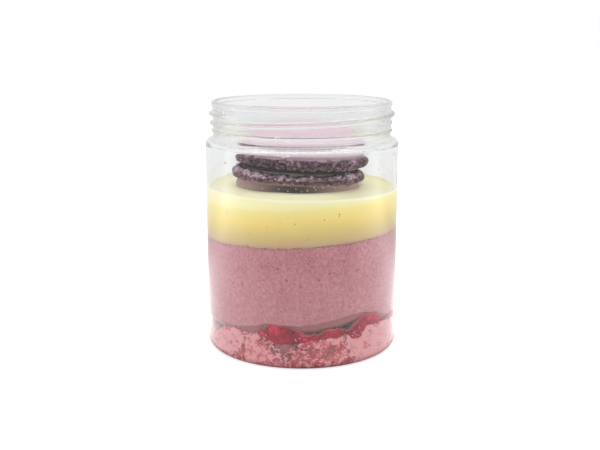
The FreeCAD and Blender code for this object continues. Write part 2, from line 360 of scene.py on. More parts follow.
def paleFloor():
    # pale paper: it reads white, and darkens where the jar stands in its light; seen through the glass it
    # has a painted shadow under the jar
    material, tree, where = newMaterial("paleFloorPaper")
    path = addNode(tree, "LightPath")
    away = addNode(tree, "VectorMath", {"operation": "LENGTH"}, {0: where}).outputs["Value"]
    near, far, low, high = studio["floorOnCamera"]
    glow = addNode(tree, "MapRange",
                   {"From Min": near * mm, "From Max": far * mm, "To Min": low, "To Max": high},
                   {"Value": away})
    onCamera = addNode(tree, "Math", {"operation": "MULTIPLY"}, {0: glow, 1: path.outputs["Is Camera Ray"]})
    paper = addNode(tree, "BsdfDiffuse", {"Color": colour("#E4E3E1")})
    light = addNode(tree, "Emission", {"Color": (1, 1, 1, 1)}, {"Strength": onCamera})
    lit = addNode(tree, "AddShader", links={0: paper, 1: light})
    depth = addNode(tree, "SeparateXYZ", links={0: where}).outputs["Y"]
    mirrored, fading = (
        addNode(tree, "MapRange",
                {"interpolation_type": "SMOOTHSTEP", "From Min": start * mm, "From Max": end * mm,
                 "To Min": first, "To Max": last},
                {"Value": depth})
        for start, end, first, last in (studio["floorMirrored"], studio["mirroredFades"])
    )
    brightness = addNode(tree, "Math", {"operation": "MULTIPLY"}, {0: mirrored, 1: fading})
    reflected = addNode(tree, "Math", {"operation": "SUBTRACT", "use_clamp": True},
                        {0: path.outputs["Is Glossy Ray"], 1: path.outputs["Is Transmission Ray"]})
    level = addNode(tree, "MapRange", {"To Min": studio["floorInGlass"]},
                    {"Value": reflected, "To Max": brightness})
    # a painted shadow under the jar, for rays that look through or are mirrored by the glass
    near, far, dim = studio["contactShade"]
    shade = addNode(tree, "MapRange",
                    {"interpolation_type": "SMOOTHSTEP", "From Min": near * mm, "From Max": far * mm,
                     "To Min": dim},
                    {"Value": away, "To Max": level})
    plain = addNode(tree, "Emission", {"Color": (1, 1, 1, 1)}, {"Strength": shade})
    return surfaced(material, addNode(tree, "MixShader", links={0: inJar(tree, path), 1: lit, 2: plain}))


def makeFloor():
    edge = around(allRound(96)[0], studio["floorReach"], 0.0)
    floor = newPiece("floor", edge, [range(len(edge))], paleFloor())
    floor.location.z = -studio["floorGap"] * mm


def lightPaths():
    # the jar's threads and lip pass light many times, so its paths are let run on
    cycles = bpy.context.scene.cycles
    cycles.max_bounces = cycles.transmission_bounces = 28
    cycles.glossy_bounces = 16


makeCamera()
lightPaths()
makeLamps()
makeRoom()
makeFloor()
print("studio ready")

# jar
jar = {
    "wall": 0.9,
    "corner": 3.0,
    "standingRing": 29.5,
    "pushUp": 1.8,
    "base": 1.1,
    "bodyTop": 76.1,
    "shoulderBend": 2.0,
    "neckRadius": 32.2,
    "neckWall": 1.1,
    "lipRadius": 32.5,
    "lipBottom": 88.3,
    "sealRing": (79.7, 0.6, 0.75),  # height, how far it stands out, half its width
    "followed": 0.55,  # share of the ring and thread that the inside of the neck follows
    "threadCrest": 1.25,
    "threadHalf": 1.15,
    "threadLead": 6.6,
    "threadFirst": (82.1, -100.0),  # height and azimuth where the first start begins
    "threadSweep": 235.0,
    "threadRunOut": 25.0,
    "columns": 360,
    "wallWaves": (0.05, 14, 3),  # height, length and seed
    # white drops that stand for painted highlights of the lamps: on the shoulder, and a ring of them on the
    # neck
    "glintDrops": ((-10.6, 2.2, 74.7, 22), (19, 2.8, 75.5, 22)),  # azimuth, spread, height, number
    "dropRadius": (0.14, 0.26),
    "glintRing": (-14.4, 79.6, 0.75, 18),  # azimuth, height, radius, number of bits
}
innerRadius = bodyRadius - jar["wall"]
contactRadius = innerRadius + 0.1  # contents reach just into the wall


def clearPet():
    # PET, blow-moulded: clear and glossy with faint waves in the wall, a little softer on the moulded neck
    material, tree, where = newMaterial("blowMouldedClearPet")
    neck = addNode(tree, "Attribute", {"attribute_name": "neck"})
    soft = addNode(tree, "MapRange", {"To Min": 0.03, "To Max": 0.17}, {"Value": neck.outputs["Fac"]})
    waves = addNode(tree, "TexNoise", {"Scale": 1 / (9 * mm), "Detail": 1.5}, {"Vector": where})
    bump = addNode(tree, "Bump", {"Strength": 0.35, "Distance": 0.12 * mm}, {"Height": waves})
    pet = addNode(tree, "BsdfPrincipled",
                  {"Base Color": colour("#FBFCFC"), "IOR": 1.5, "Transmission Weight": 1.0},
                  {"Normal": bump, "Roughness": soft})
    lampWay = addNode(tree, "BsdfTransparent", {"Color": colour("#F4F6F6")})
    path = addNode(tree, "LightPath")
    lamps = addNode(tree, "Math", {"operation": "MAXIMUM"},
                    {0: path.outputs["Is Shadow Ray"], 1: path.outputs["Is Diffuse Ray"]})
    return surfaced(material, addNode(tree, "MixShader", links={0: lamps, 1: pet, 2: lampWay}))


def sugarAndGlintWhite():
    # white and glossy: grains of sugar on the macaron, and painted highlights of the lamps on the jar
    stops = [(0.3, "#EAE4E2"), (0.7, "#FAF8F7")]
    return mottled("sugarWhiteAndPaintedGlints", 0.5, stops, {"Roughness": 0.15, "IOR": 1.45})


def threadRise(azimuth, height):
    # how far the two-start thread stands out of the neck
    firstHeight, firstAzimuth = jar["threadFirst"]
    rise = 0
    for start in (0, 180):
        swept = (azimuth - firstAzimuth - start) % 360
        fromEnd = np.minimum(swept, jar["threadSweep"] - swept) / jar["threadRunOut"]
        fullness = np.sin(math.pi / 2 * np.clip(fromEnd, 0, 1))
        offset = (height - firstHeight - jar["threadLead"] * swept / 360) / jar["threadHalf"]
        rise = np.maximum(rise, fullness * smoothStep(0, 0.8, 1 - np.abs(offset)))
    return jar["threadCrest"] * rise


def makeJar():
    j = jar
    foot = np.linspace(0.4, j["standingRing"] / bodyRadius, 12) * bodyRadius
    arch = 1 - (foot / j["standingRing"]) ** 2
    under = np.stack([foot, j["pushUp"] * arch], 1)
    neckInner = j["neckRadius"] - j["neckWall"]
    skin = outline([
        # radius, height, bend, step
        (j["standingRing"], 0, 0, 0.5),
        (bodyRadius, 0, j["corner"], 1.5),
        (bodyRadius, j["bodyTop"], j["shoulderBend"], 0.1),
        (j["neckRadius"], j["bodyTop"] + 1.25, 1.0, 0.1),
        (j["neckRadius"], j["lipBottom"], 0.12, 0.1),
        (j["lipRadius"], j["lipBottom"] + 0.2, 0.12, 0.2),
        (j["lipRadius"], jarHeight, 0.75, 0.1),
        (neckInner, jarHeight, 0.55, 0.25),
        (neckInner, j["bodyTop"] + 0.2, 2.1, 0.1),
        (innerRadius, j["bodyTop"] - 0.9, 1.6, 1.5),
        (innerRadius, j["base"], j["corner"] - j["wall"], 0.5),
        (j["standingRing"], j["base"], 0, 0.5),
    ])
    floor = np.stack([foot, j["base"] + j["pushUp"] * arch], 1)[::-1]
    path = np.vstack([under[:-1], skin, floor[1:]])
    azimuth = allRound(j["columns"])
    radius, height = path[:, :1], path[:, 1:]
    outside = np.arange(len(path))[:, None] < len(under) + np.argmax(skin[:, 1])
    neck = outside & (height > j["bodyTop"] + 1.5)
    ringHeight, ringOut, ringHalf = j["sealRing"]
    ring = ringOut * (0.5 + 0.5 * np.cos(np.pi * np.clip((height - ringHeight) / ringHalf, -1, 1)))
    relief = np.maximum(ring, threadRise(azimuth, height))
    behind = ~outside & (height > j["bodyTop"] + 1.5) & (height < j["lipBottom"])
    outer = radius + np.where(neck, relief, np.where(behind, j["followed"] * relief, 0))
    rings = around(azimuth, outer, height)
    # the moulding's waves run along the wall, and die out at the base and the lip
    still = smoothStep(1.5, 8, height) * (1 - smoothStep(jarHeight - 4, jarHeight - 1, height))
    swell = ripples(rings * (1, 1, 0.5), j["wallWaves"]) * still
    rings = around(azimuth, outer + np.minimum(swell, bodyRadius - outer), height)
    marks = {"neck": [smoothStep(j["bodyTop"] - 1, j["bodyTop"] + 1.5, height)]}
    ringPiece("screwJar", "jar", clearPet(), [rings], marks)


def makeGlintDrops():
    # white drops on the shoulder, and a ring of white bits on the neck: painted highlights of the lamps
    rng = np.random.default_rng(5)
    spots = []
    for middle, spread, height, count in jar["glintDrops"]:
        for i in range(count):
            high = height + rng.normal(0, 0.4)
            bent = min(max(0, (high - jar["bodyTop"]) / jar["shoulderBend"] + 1), 1)
            out = bodyRadius - jar["shoulderBend"] * (1 - math.sqrt(1 - bent ** 2))
            place = around(middle + rng.normal(0, spread), out, high)
            spots.append((place, rng.uniform(*jar["dropRadius"]), 0.5))
    turn, height, size, count = jar["glintRing"]
    for angle in np.linspace(0, 2 * math.pi, count, endpoint=False):
        place = around(turn + size * math.cos(angle) * 1.7, jar["neckRadius"] + jar["sealRing"][1] + 0.05,
                       height + size * math.sin(angle))
        spots.append((place, 0.2, 0.6))
    scatter("glintDrops", sugarAndGlintWhite(), spots, lumpy=0.15, seed=6)


makeJar()
makeGlintDrops()
print("jar made")

# mousse
mousse = {
    "top": 43.1,
    "topTilt": 0.050,
    "edgeRound": 1.0,
    "columns": 480,
    "lowEdge": (
        (-175, 12.4), (-150, 13.2), (-120, 11.8), (-90, 12.2), (-70, 12.5), (-44, 12.8), (-33, 13.8),
        (-20, 15.8), (-3, 15.4), (9, 16.0), (23, 17.6), (36, 18.5), (48, 17.6), (57, 15.0), (72, 13.9),
        (100, 14.6), (130, 13.0), (160, 13.8),
    ),
    # waves are given by height, length and seed
    "topWaves": ((0.18, 9, 11), (0.08, 3, 12), (0.2, 1.1, 13)),
    "lowWaves": (0.25, 2.2, 21),
    "underWaves": (0.5, 5, 22),
    "underDrop": 7.0,  # how much lower it hangs in the middle
    "underShade": (-50, -15),  # azimuths between which the painted shade on its underside grows
    "shadeClimb": 0.9,  # how far up the wall the painted shade fades
    "flecks": 1700,
    "edgeFlecks": 420,
}
mousseLow = closedCurve(mousse["lowEdge"])


def layerPlane(radius, azimuth):
    # the plane between mousse and custard
    place = around(azimuth, radius, 0.0)
    return mousse["top"] + mousse["topTilt"] * place[..., 0] + ripples(place, *mousse["topWaves"])


def whippedMousse():
    # fruit mousse, whipped and set: satin and mottled with fine pulp, and darker underneath with painted
    # shade. Its pulp of about half a millimetre is drawn twice as coarse, so that it shows.
    material, tree, where = newMaterial("whippedBerryMousse")
    under = addNode(tree, "Attribute", {"attribute_name": "under"})
    pulp = addNode(tree, "TexNoise", {"Scale": 1 / (9 * mm), "Detail": 3}, {"Vector": where})
    grain = addNode(tree, "TexNoise", {"Scale": 1 / (1.1 * mm), "Detail": 3, "Roughness": 0.7},
                    {"Vector": where})
    cloud = addNode(tree, "Math", {"operation": "MULTIPLY_ADD", 1: 0.35, 2: 0.05}, {0: pulp})
    mixed = addNode(tree, "Math", {"operation": "MULTIPLY_ADD", 1: 1.15}, {0: grain, 2: cloud})
    tint = addNode(tree, "ValToRGB", {"stops": [
        (0.58, "#B0737B"), (0.8, "#BF8088"), (1.0, "#CB9096"),
    ]}, {"Fac": mixed})
    # the under mark mixes in a painted shade colour on its underside
    body = addNode(tree, "Mix", {"data_type": "RGBA", 7: colour("#AC686A")},
                   {0: under.outputs["Fac"], 6: tint})
    return grained(material, body.outputs[2], grain, 0.3, 0.1, {"Roughness": 0.5, "IOR": 1.4})


def makeMousse():
    m = mousse
    azimuth = allRound(m["columns"])
    low = mousseLow(azimuth) + ripples(around(azimuth, innerRadius, 0.0), m["lowWaves"])
    inward = np.linspace(0.03, 1, 20)[:, None] * (contactRadius - m["edgeRound"])
    drop = m["underDrop"] * (1 - (inward / innerRadius) ** 9)
    lumps = ripples(around(azimuth, inward, 0.0), m["underWaves"])
    under = around(azimuth, inward, low + 0.25 - drop + lumps * smoothStep(5, 25, inward))
    turn = np.linspace(0, np.pi / 2, 8)[1:, None]
    edge = around(azimuth, contactRadius - m["edgeRound"] * (1 - np.sin(turn)),
                  low + m["edgeRound"] * (1 - np.cos(turn)))
    top = layerPlane(contactRadius, azimuth)
    climb = np.append(np.linspace(0, 0.997, 30)[1:], 1)[:, None]
    start = low + m["edgeRound"]
    wall = around(azimuth, contactRadius, start + (top - start) * climb)
    inwardTop = np.linspace(0.998, 0.03, 18)[:, None] * contactRadius
    lid = around(azimuth, inwardTop, layerPlane(inwardTop, azimuth))
    # painted shade darkens it underneath, and less and less up the rounded edge and the wall
    underShade = 0.3 + 0.7 * smoothStep(*m["underShade"], azimuth)
    fading = (1 - np.sin(turn) ** 3) * underShade
    above = 0.45 * np.exp(-(top - start) * climb / m["shadeClimb"]) * underShade
    marks = {"under": [underShade, np.maximum(fading, above[:1]), above, 0]}
    ringPiece("berryMousse", "berry_mousse", whippedMousse(), [under, edge, wall, lid], marks)


def fruitSkin():
    # bits of berry skin and seed: dark and matt
    stops = [(0.4, "#74384A"), (0.6, "#A65A68")]
    return mottled("milledBerrySkin", 4, stops, {"Roughness": 0.5, "IOR": 1.45})


def makeMousseFlecks():
    rng = np.random.default_rng(25)
    spots = []
    for i in range(mousse["flecks"]):
        azimuth = rng.uniform(-180, 180)
        low = mousseLow(azimuth) + mousse["edgeRound"] + 0.4
        high = float(layerPlane(contactRadius, np.array(azimuth))) - 0.3
        radius = 0.12 + 0.15 * rng.random() ** 3
        spots.append((around(azimuth, contactRadius, rng.uniform(low, high)), radius, 0.5))
    for i in range(mousse["edgeFlecks"]):
        azimuth = rng.uniform(-180, 180)
        height = float(layerPlane(contactRadius, np.array(azimuth))) + rng.normal(0.05, 0.3)
        spots.append((around(azimuth, contactRadius, height), rng.uniform(0.1, 0.2), 0.5))
    scatter("mousseFlecks", fruitSkin(), spots, seed=26)


makeMousse()
makeMousseFlecks()
print("mousse made")

# custard
custard = {
    "top": 58.5,
    "tilt": -0.012,
    "meniscus": (0.9, 1.0),  # rise and width at the wall
    "film": 1.6,  # smear up the wall at the back
    "bulge": (1.5, 3.5),  # rise and width round the macaron
    "waves": (0.12, 8, 31),
    "columns": 480,
    "specks": (
        # vanilla specks on the shown side: azimuth, height, radius
        (21.2, 54.5, 0.22), (21.2, 53.75, 0.2), (-3.9, 51.5, 0.22), (12.5, 52.8, 0.22), (-48.5, 52.9, 0.25),
        (60.5, 51.6, 0.24), (-12, 51.6, 0.12), (-66, 50.4, 0.2), (-8, 53.8, 0.1), (3, 46.2, 0.18),
        (33, 48.4, 0.14), (-31, 47.2, 0.16), (-20, 50.1, 0.12), (42, 52.6, 0.14),
    ),
    "hiddenSpecks": (26, (75, 285), (46, 57.5)),  # number, azimuths and heights
}

# macaron
macaron = {
    "radius": 22.6,
    "height": 15.6,
    "sideTop": 9.6,
    "footRadius": 23.9,
    # each shell's face has a middle, a lean in degrees and a gap to the other face: its size, where and how
    # wide it is. Its foot has a height, and holes by azimuth, height and radius.
    "lower": {"centre": (-1.3, 0.3, 65.9), "right": 2.4, "front": 2.4, "parted": (1.5, 0, 50), "foot": 4.3,
              "holes": ((6.4, 2.3, 0.75), (-38, 2.6, 0.5), (22, 3.4, 0.5), (-14, 3.0, 0.4),
                        (35, 2.2, 0.45))},
    "upper": {"centre": (0.1, 0.2, 66.7), "right": 1.7, "front": 1.8, "parted": (0.6, -40, 45), "foot": 3.9,
              "holes": ((-24, 1.6, 0.45), (14, 1.9, 0.45))},
    "pits": ((1.15, 1.1), (0.6, 0.45)),  # spacing and depth of the foot's coarse and fine pits
    "filling": {"radius": 20.6, "half": 0.55, "right": 3.0, "front": 2.1, "waves": (0.3, 4, 71)},
    "sugar": (
        # grains on the lower shell's side: azimuth, height, radius
        (-33, 61.0, 0.25), (-24, 60.4, 0.2), (-17, 61.2, 0.175), (-9, 60.6, 0.25), (-2, 61.4, 0.175),
        (3, 60.4, 0.2), (8, 60.8, 0.225), (14, 61.8, 0.25), (15.5, 60.9, 0.2), (22, 61.6, 0.25),
        (27, 62.4, 0.275), (34, 61.2, 0.2),
    ),
    "hiddenSugar": (14, (60, 300), (60, 61.6)),  # number, azimuths and heights
    "columns": 800,
}


def custardTop(radius, azimuth):
    place = around(azimuth, radius, 0.0)
    centre = macaron["lower"]["centre"]
    away = np.hypot(place[..., 0] - centre[0], place[..., 1] - centre[1]) - macaron["radius"]
    rise, width = custard["bulge"]
    shown = 0.5 + 0.5 * np.cos(np.radians(azimuth))
    bulge = rise * np.exp(-((away / width) ** 2)) * shown
    edgeRise, edgeWidth = custard["meniscus"]
    edge = edgeRise * np.exp(np.minimum(0, radius - innerRadius) / edgeWidth)
    return custard["top"] + custard["tilt"] * place[..., 0] + bulge + edge + ripples(place, custard["waves"])


def setCustard():
    # vanilla custard, poured and set: smooth and softly glossy, tinged by the mousse where they meet, and
    # painted paler towards its top, as light coming in from above
    material, tree, where = newMaterial("setVanillaCustard")
    split = addNode(tree, "SeparateXYZ", links={0: where})
    cloud = addNode(tree, "TexNoise", {"Scale": 1 / (7 * mm), "Detail": 2}, {"Vector": where})
    slope = addNode(tree, "Math", {"operation": "MULTIPLY_ADD", 1: -mousse["topTilt"]},
                    {0: split.outputs["X"], 2: split.outputs["Z"]})
    uneven = addNode(tree, "Math", {"operation": "MULTIPLY_ADD", 1: 1.6 * mm}, {0: cloud, 2: slope})
    depth = addNode(tree, "MapRange",
                    {"From Min": (mousse["top"] + 0.5) * mm, "From Max": (custard["top"] + 1.5) * mm},
                    {"Value": uneven})
    # from the mousse up to its top: tinged by the mousse low down, painted lighter higher up as light from
    # above
    tint = addNode(tree, "ValToRGB", {"stops": [
        (0.0, "#CCA68C"), (0.1, "#D4B48A"), (0.28, "#DEC786"), (0.55, "#F4DD8C"), (0.78, "#FBE8A2"),
        (0.88, "#FFF0C0"), (1.0, "#FFF1C6"),
    ]}, {"Fac": depth})
    grain = addNode(tree, "TexNoise", {"Scale": 1 / (1.2 * mm), "Detail": 2}, {"Vector": where})
    return grained(material, tint, grain, 0.15, 0.1, {
        "Roughness": 0.35, "IOR": 1.4, "Specular IOR Level": 0.25, "Subsurface Weight": 0.6,
        "Subsurface Scale": 6 * mm, "Subsurface Radius": (1.0, 0.8, 0.4),
    })


def makeCustard():
    c = custard
    azimuth = allRound(c["columns"])
    out = np.append(np.linspace(0.03, 0.998, 18), 1)[:, None] * contactRadius
    under = around(azimuth, out, layerPlane(out, azimuth) - 0.1)
    low = layerPlane(contactRadius, azimuth)
    high = custardTop(contactRadius, azimuth)
    film = c["film"] * smoothStep(0.1, 0.9, -np.cos(np.radians(azimuth)))
    film = np.maximum(film * (0.7 + 0.5 * softNoise(around(azimuth, innerRadius, 0.0), 5, 33)), 0.15)
    climb = np.linspace(0.003, 1, 16)[:, None]
    wall = around(azimuth, contactRadius, low - 0.1 + (high + film - low + 0.1) * climb)
    lip = around(azimuth, innerRadius - 0.08, high + film * 0.96)
    foot = around(azimuth, innerRadius - 0.2, high - 0.05)
    inward = np.concatenate([
        innerRadius - np.array([0.5, 0.9, 1.4, 2, 2.8, 3.8, 5, 6.2, 7.4, 8.6, 9.8, 11, 12.4, 14]),
        np.linspace(18, 1, 8),
    ])[:, None]
    lid = around(azimuth, inward, custardTop(inward, azimuth))
    ringPiece("vanillaCustard", "custard", setCustard(), [under, wall, lip, foot, lid])


def vanillaSeed():
    # vanilla seeds: tiny, brown and matt
    stops = [(0.4, "#4A3A1E"), (0.6, "#7A5E30")]
    return mottled("vanillaSeed", 4, stops, {"Roughness": 0.55, "IOR": 1.45})


def makeCustardSpecks():
    rng = np.random.default_rng(35)
    spots = [(around(a, contactRadius, z), size, 0.5) for a, z, size in custard["specks"]]
    count, azimuths, heights = custard["hiddenSpecks"]
    for i in range(count):
        place = around(rng.uniform(*azimuths), contactRadius, rng.uniform(*heights))
        spots.append((place, 0.1 + 0.14 * rng.random(), 0.5))
    scatter("custardSpecks", vanillaSeed(), spots, seed=36)


makeCustard()
makeCustardSpecks()
print("custard made")

# sponge
sponge = {
    "columns": 960,
    "rows": 60,
    "wallTop": (
        # azimuth and height of its top edge at the wall
        (-175, 10.6), (-150, 9.8), (-135, 8.6), (-110, 10.8), (-85, 10.2), (-70, 7.8), (-64, 8.2),
        (-59, 9.2), (-55, 11.6), (-51, 12.0), (-47, 12.4), (-43, 12.8), (-37, 12.7), (-33, 12.5),
        (-28, 13.0), (-25, 13.1),
        (-22, 11.6), (-18, 10.2), (-13, 9.2), (-5, 9.6), (0, 10.4), (6, 10.8), (8.5, 10.9), (12, 11.2),
        (17, 11.2), (21, 11.0), (24, 11.7), (27.5, 12.5), (30, 10.2), (35, 9.6), (38, 11.6), (41, 14.4),
        (44, 13.6), (53, 13.2), (60, 13.0), (72, 11.2), (90, 10.0), (115, 11.4), (150, 9.4),
    ),
    "middleTop": 11.6,
    "edgeWaves": ((0.3, 1.5, 43), (0.2, 0.7, 44)),
    "topWaves": ((0.7, 2.6, 46), (0.4, 1.1, 47)),
    "lumps": (
        # broken pieces: azimuth, height, half width in degrees, half height, crumbliness, paleness
        (-74, 5.0, 8, 5.2, 0.5, 0.75), (-61, 5.0, 8, 5.4, 0.55, 0.85), (-51, 9.4, 5, 2.4, 0.6, 0.8),
        (-53, 4.4, 6, 4.0, 0.6, 0.75), (-44, 10.4, 5, 2.4, 0.7, 0.7), (-43, 6.2, 6, 3.6, 0.75, 0.7),
        (-35, 9.8, 5, 2.6, 0.7, 0.75), (-37, 4.6, 5, 3.0, 0.9, 0.2), (-25, 4.2, 11.5, 4.1, 0.2, 0.62),
        (-29, 8.6, 6, 3.2, 0.2, 0.7), (-22, 8.6, 5, 2.6, 0.9, 0.4),
        (1.2, 4.6, 9, 4.3, 0.8, 0.38), (8, 9.0, 8, 3.0, 0.7, 0.45), (13, 4.4, 6, 4.2, 0.6, 0.42),
        (21, 11.0, 6, 2.6, 0.1, 0.62), (14.5, 10.2, 4, 2.6, 0.5, 0.5), (22, 5.4, 6, 4.8, 0.75, 0.38),
        (41, 6.4, 13, 6.8, 0.18, 0.85), (40, 12.4, 4, 3.0, 0.3, 0.85), (58, 8.0, 9, 6.8, 0.35, 1.0),
        (72, 6.0, 8, 5.8, 0.5, 0.9),
    ),
    "edges": (
        # creases and cracks between the pieces on the shown side, by azimuth and height
        ("crease", ((27.5, 11), (28.5, 8), (30.5, 5), (33.5, 3), (34, 1.4))),
        ("crack", ((29.0, 9.0), (30.2, 6), (32.5, 4))),
        ("crack", ((15.5, 5.2), (15, 3.8), (16.6, 2.8), (16, 1.4))),
        ("crack", ((20, 8.6), (18, 7.6), (17.4, 6.2), (15.5, 5.2))),
        ("crack", ((5, 7.4), (8, 6.9), (10.5, 7.3))),
        ("crack", ((-44, 9.4), (-41, 8.2), (-40, 6.6))),
        ("crack", ((37.5, 5.6), (41, 5.4), (43.5, 6.1))),
        ("crack", ((60, 12), (59, 9), (60.5, 5.5))),
    ),
    "hiddenLumps": 30,
    # how far the crumb stands back from the wall: between its lumps, along their seams, in a crack, where
    # its top rounds over, and at most
    "voidDepth": 1.4,
    "seamDepth": 0.3,
    "crackDepth": 0.28,
    "topRound": 0.5,
    "mostBack": 3.4,
}
spongeTop = closedCurve(sponge["wallTop"], 1.6)


def spongeLumps():
    rng = np.random.default_rng(14)
    lumps = list(sponge["lumps"])
    for i in range(sponge["hiddenLumps"]):
        azimuth = 84 + 198 * (i // 2 + rng.uniform(0.2, 0.8)) / (sponge["hiddenLumps"] / 2)
        height = (3.6 if i % 2 else 8.8) + rng.uniform(-0.8, 0.8)
        lumps.append((azimuth, height, rng.uniform(6, 10), rng.uniform(2.8, 4.6),
                      rng.uniform(0.2, 1), rng.uniform(0.4, 0.9)))
    return lumps


def nearLine(azimuth, height, line):
    # the distance in mm along the wall to a line of (azimuth, height) points
    turn = math.radians(1) * innerRadius
    nearest = np.full(np.broadcast(azimuth, height).shape, 99.0)
    for (a, b), (c, d) in zip(line, line[1:]):
        along, up = (c - a) * turn, d - b
        x, z = (azimuth - a) * turn, height - b
        share = np.clip((x * along + z * up) / (along ** 2 + up ** 2), 0, 1)
        nearest = np.minimum(nearest, np.hypot(x - share * along, z - share * up))
    return nearest


def bakedSponge():
    # sponge cake, baked and crumbled: matt and porous, paler where it presses on the wall, and redder and
    # darker in its hollows, partly juice and partly painted shade, and painted lighter again in the deepest
    # ones, as painted light scattered into them. Its pores of a quarter of a millimetre are drawn coarser,
    # so that they show.
    material, tree, where = newMaterial("crumbledPinkSponge")
    pale, deep = (addNode(tree, "Attribute", {"attribute_name": mark}).outputs["Fac"]
                  for mark in ("paleness", "depth"))
    crumb = addNode(tree, "TexNoise", {"Scale": 1 / (0.8 * mm), "Detail": 3, "Roughness": 0.65},
                    {"Vector": where})
    juice = addNode(tree, "TexNoise", {"Scale": 1 / (3.5 * mm), "Detail": 2}, {"Vector": where})
    soaked = addNode(tree, "Math", {"operation": "MULTIPLY_ADD", 1: -1.1, 2: 0.4}, {0: juice})
    dried = addNode(tree, "Math", {"operation": "ADD"}, {0: pale, 1: soaked})
    mixed = addNode(tree, "Math", {"operation": "MULTIPLY_ADD", 1: 0.9}, {0: crumb, 2: dried})
    tint = addNode(tree, "ValToRGB", {"stops": [
        (0.35, "#A63E48"), (0.6, "#BC5860"), (0.8, "#CA7078"), (0.95, "#D5848A"), (1.0, "#DC999E"),
    ]}, {"Fac": mixed})
    # by depth: hollows redder and darker, partly juice and partly painted shade; the deepest painted lighter
    hollow = addNode(tree, "MapRange", {"From Min": 0.04, "From Max": 0.55, "To Max": 0.75},
                     {"Value": deep})
    depth = addNode(tree, "MapRange", {"From Max": 2.4}, {"Value": deep})
    hollowJuiceLightAndShade = addNode(tree, "ValToRGB", {"stops": [
        (0.0, "#B85A63"), (0.3, "#AE545D"), (0.75, "#C07A84"), (1.0, "#CC8E98"),
    ]}, {"Fac": depth})
    body = addNode(tree, "Mix", {"data_type": "RGBA"}, {0: hollow, 6: tint, 7: hollowJuiceLightAndShade})
    return grained(material, body.outputs[2], crumb, 0.6, 0.2, {
        "Roughness": 0.75, "IOR": 1.4, "Subsurface Weight": 0.5, "Subsurface Scale": 1.5 * mm,
        "Subsurface Radius": (1.0, 0.6, 0.5),
    })


def crumbWall(azimuth, height):
    # how far the crumb stands back from the wall, and how pale it is
    place = around(azimuth, innerRadius, height)
    warp = np.stack([softNoise(place, 2.4, 41), softNoise(place, 2.4, 42), softNoise(place, 0.9, 43)], -1)
    best, second = (np.full(place.shape[:-1], -9.0) for i in range(2))
    weight, pale, rough = (np.full(place.shape[:-1], least) for least in (1e-4, 5e-5, 5e-5))
    for lumpAzimuth, lumpHeight, halfWidth, halfHeight, crumbly, paleness in spongeLumps():
        across = turnedFrom(azimuth, lumpAzimuth) + warp[..., 0] * 4.5 + warp[..., 2] * 2.2
        upward = height - lumpHeight + warp[..., 1] * 1.4 + warp[..., 2] * 0.5
        inside = 1 - (np.abs(across / halfWidth) ** 2.2 + np.abs(upward / halfHeight) ** 2.2) ** (1 / 2.2)
        second = np.maximum(second, np.minimum(best, inside))
        best = np.maximum(best, inside)
        share = np.exp(14 * np.clip(inside, -1.5, 1))
        weight, pale, rough = weight + share, pale + share * paleness, rough + share * crumbly
    pale, rough = pale / weight, rough / weight
    broken = ripples(place + 0.7 * warp, (0.3, 2.2, 51), (0.36, 1.1, 52))
    broken = broken + ripples(place, (0.42, 0.62, 53), (0.3, 0.4, 54))
    voids = sponge["voidDepth"] * (1 - smoothStep(-0.35, 0.05, best + 0.7 * broken))
    seams = (1 - smoothStep(0.01, 0.07, best - second)) * smoothStep(-0.2, 0.1, best)
    seams = sponge["seamDepth"] * seams * smoothStep(-0.05, 0.3, softNoise(place, 3.5, 57))
    pressed = 0.44 - 0.62 * rough  # the crumb touches the wall where it is rougher than minus this
    crumbs = np.minimum((0.5 + 0.6 * rough) * np.maximum(0, -pressed - broken), 0.5)
    depth = voids + seams + crumbs
    tone = pale + (0.35 + 0.85 * rough) * broken
    for kind, line in sponge["edges"]:
        away = nearLine(azimuth + 1.2 * warp[..., 2], height + 0.2 * warp[..., 2], line)
        if kind == "crack":
            depth = depth + sponge["crackDepth"] * (1 - smoothStep(0.08, 0.3, away))
        else:
            depth = depth * smoothStep(0.1, 0.6, away)
            tone = tone + 0.5 * (1 - smoothStep(0.15, 0.5, away))
    return depth, tone


def makeSponge():
    s = sponge
    azimuth = allRound(s["columns"])
    out = np.linspace(0.03, 1, 14)[:, None] * (innerRadius - 2.5)
    floorRise = jar["pushUp"] * np.maximum(0, 1 - (out / jar["standingRing"]) ** 2)
    under = around(azimuth, out, jar["base"] - 0.1 + floorRise)
    edge = around(azimuth, innerRadius, 0.0)
    top = spongeTop(azimuth) + ripples(edge, *s["edgeWaves"])
    climb = np.linspace(0, 1, s["rows"])[:, None]
    height = jar["base"] + 0.02 + (top - jar["base"] - 0.02) * climb
    depth, pale = crumbWall(azimuth, height)
    # the crumb follows the jar's rounded inner corner, and rounds over at its own top edge
    corner = jar["corner"] - jar["wall"]
    lean = np.clip((jar["base"] + corner - height) / corner, 0, 1)
    cornerBack = corner * (1 - np.sqrt(np.maximum(0, 1 - lean ** 2)))
    topRound = s["topRound"] * (1 - smoothStep(0, 0.7, top - height)) ** 2
    back = np.minimum(depth * smoothStep(1.0, 3.4, height - jar["base"]) + topRound, s["mostBack"])
    radius = contactRadius - np.maximum(back - 0.1, -0.02) - cornerBack
    wall = around(azimuth, radius, height)
    inward = np.concatenate([[1.2, 2.0, 3.0, 4.2, 5.6], np.linspace(7.5, innerRadius - 1, 12)])[:, None]
    place = around(azimuth, innerRadius - inward, 0.0)
    rise = (s["middleTop"] - 1.0 - top) * smoothStep(1, 9, inward)
    lumps = ripples(place, *s["topWaves"]) * smoothStep(0.5, 2, inward)
    lid = around(azimuth, innerRadius - inward, top + 0.1 + rise + lumps)
    marks = {"depth": [2.2, back, 0.8], "paleness": [0.3, pale, 0.5]}
    ringPiece("spongeBase", "sponge_base", bakedSponge(), [under, wall, lid], marks)


makeSponge()
print("sponge made")

